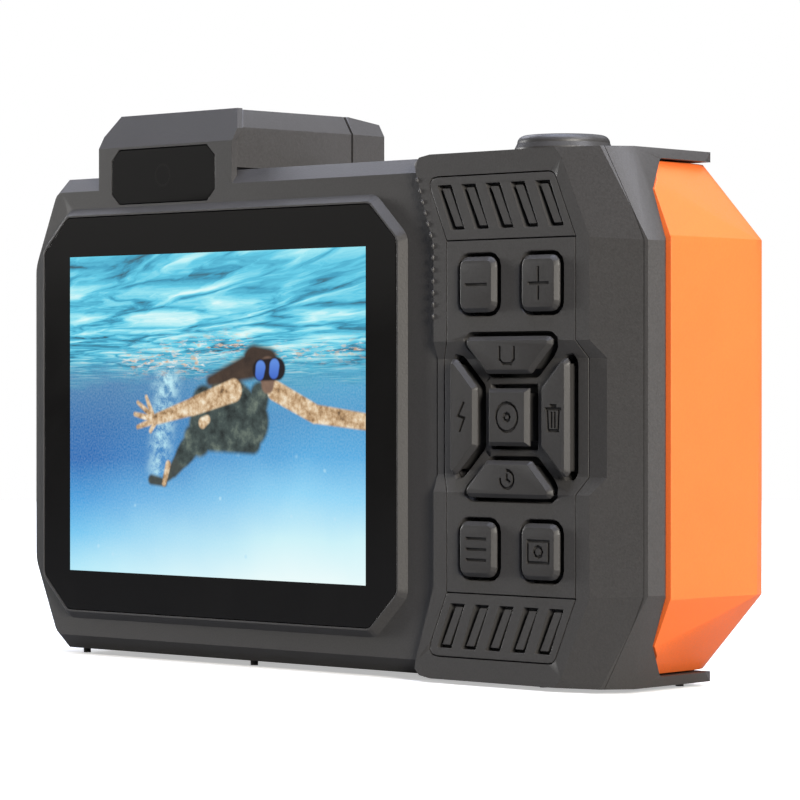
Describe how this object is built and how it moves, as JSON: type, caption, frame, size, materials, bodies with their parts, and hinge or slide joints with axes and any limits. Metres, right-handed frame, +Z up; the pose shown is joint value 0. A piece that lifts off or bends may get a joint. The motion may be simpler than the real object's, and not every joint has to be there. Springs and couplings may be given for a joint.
{
  "type": "compact camera",
  "caption": "Rugged hand-held camera with a rear display, faceted grip, keypad, shutter button, raised pod, front lens and a hinged battery door.",
  "frame": {"origin": "centre of the bounding box, on the plane that the base nubs stand on", "axes": "+X towards the hand grip (right, seen from behind), +Y forwards out of the lens, +Z up"},
  "size_m": [0.1152, 0.034, 0.0733],
  "materials": {
    "charcoal_plastic": "fine-grained satin charcoal",
    "key_plastic": "smooth satin charcoal",
    "orange_plastic": "fine-grained satin orange",
    "display_glass": "gloss black cover glass",
    "lens_glass": "coated lens glass",
    "seal_rubber": "matte black",
    "bare_metal": "satin metal",
    "circuit_board": "green solder mask",
    "dark_module": "dark grey",
    "flash_lens": "ribbed clear diffuser"
  },
  "bodies": {
    "body": {"rear_shell": "charcoal_plastic", "front_shell": "charcoal_plastic", "grip_rear_cover": "charcoal_plastic", "grip_frame": "charcoal_plastic", "upper_vent_panel": "charcoal_plastic", "keypad_panel": "charcoal_plastic", "lower_vent_panel": "charcoal_plastic", "pod_cover": "charcoal_plastic", "flash_housing": "charcoal_plastic", "lens_ring": "charcoal_plastic", "grip_cover": "orange_plastic", "display_glass": "display_glass", "front_display_glass": "display_glass", "pod_window": "display_glass", "lens_window": "lens_glass", "lens_group": "lens_glass", "key_mat": "seal_rubber", "shutter_collar": "seal_rubber", "body_gasket": "seal_rubber", "door_hinge_pin": "bare_metal", "tripod_bushing": "bare_metal", "strap_lug": "bare_metal", "flash_reflector": "bare_metal", "case_screw_1": "bare_metal", "case_screw_2": "bare_metal", "case_screw_3": "bare_metal", "case_screw_4": "bare_metal", "battery": "bare_metal", "key_board": "circuit_board", "main_board": "circuit_board", "display_module": "dark_module", "front_display_module": "dark_module", "lens_barrel": "dark_module", "image_sensor": "dark_module", "shutter_switch": "dark_module", "memory_card": "dark_module", "flash_capacitor": "dark_module", "speaker": "dark_module", "flash_window": "flash_lens"},
    "centre_key": {"centre_key": "key_plastic"},
    "down_key": {"down_key": "key_plastic"},
    "left_key": {"left_key": "key_plastic"},
    "mode_key": {"mode_key": "key_plastic"},
    "right_key": {"right_key": "key_plastic"},
    "still_key": {"still_key": "key_plastic"},
    "up_key": {"up_key": "key_plastic"},
    "zoom_in_key": {"zoom_in_key": "key_plastic"},
    "zoom_out_key": {"zoom_out_key": "key_plastic"},
    "shutter_button": {"shutter_button": "key_plastic"},
    "power_button": {"power_button": "orange_plastic"},
    "battery_door": {"battery_door": "charcoal_plastic", "door_seal": "seal_rubber"},
    "door_latch": {"door_latch": "orange_plastic"}
  },
  "joints": [
    {"name": "centre_key_press", "type": "slide", "parent": "body", "child": "centre_key", "axis": [0, 1, 0], "range_m": [0, 0.0005], "stiffness_N_per_m": 600},
    {"name": "down_key_press", "type": "slide", "parent": "body", "child": "down_key", "axis": [0, 1, 0], "range_m": [0, 0.0005], "stiffness_N_per_m": 600},
    {"name": "left_key_press", "type": "slide", "parent": "body", "child": "left_key", "axis": [0, 1, 0], "range_m": [0, 0.0005], "stiffness_N_per_m": 600},
    {"name": "mode_key_press", "type": "slide", "parent": "body", "child": "mode_key", "axis": [0, 1, 0], "range_m": [0, 0.0005], "stiffness_N_per_m": 600},
    {"name": "right_key_press", "type": "slide", "parent": "body", "child": "right_key", "axis": [0, 1, 0], "range_m": [0, 0.0005], "stiffness_N_per_m": 600},
    {"name": "still_key_press", "type": "slide", "parent": "body", "child": "still_key", "axis": [0, 1, 0], "range_m": [0, 0.0005], "stiffness_N_per_m": 600},
    {"name": "up_key_press", "type": "slide", "parent": "body", "child": "up_key", "axis": [0, 1, 0], "range_m": [0, 0.0005], "stiffness_N_per_m": 600},
    {"name": "zoom_in_key_press", "type": "slide", "parent": "body", "child": "zoom_in_key", "axis": [0, 1, 0], "range_m": [0, 0.0005], "stiffness_N_per_m": 600},
    {"name": "zoom_out_key_press", "type": "slide", "parent": "body", "child": "zoom_out_key", "axis": [0, 1, 0], "range_m": [0, 0.0005], "stiffness_N_per_m": 600},
    {"name": "shutter_press", "type": "slide", "parent": "body", "child": "shutter_button", "axis": [0, 0, -1], "range_m": [0, 0.0012], "stiffness_N_per_m": 500, "springref_m": -0.0004},
    {"name": "power_press", "type": "slide", "parent": "body", "child": "power_button", "axis": [0, 0, -1], "range_m": [0, 0.0006], "stiffness_N_per_m": 500, "springref_m": -0.0003},
    {"name": "battery_door_hinge", "type": "hinge", "parent": "body", "child": "battery_door", "pos_m": [0.0249, -0.00477, 0.00175], "axis": [0, 1, 0], "range_deg": [0, 110]},
    {"name": "door_latch_slide", "type": "slide", "parent": "battery_door", "child": "door_latch", "axis": [-1, 0, 0], "range_m": [0, 0.0025]}
  ]
}
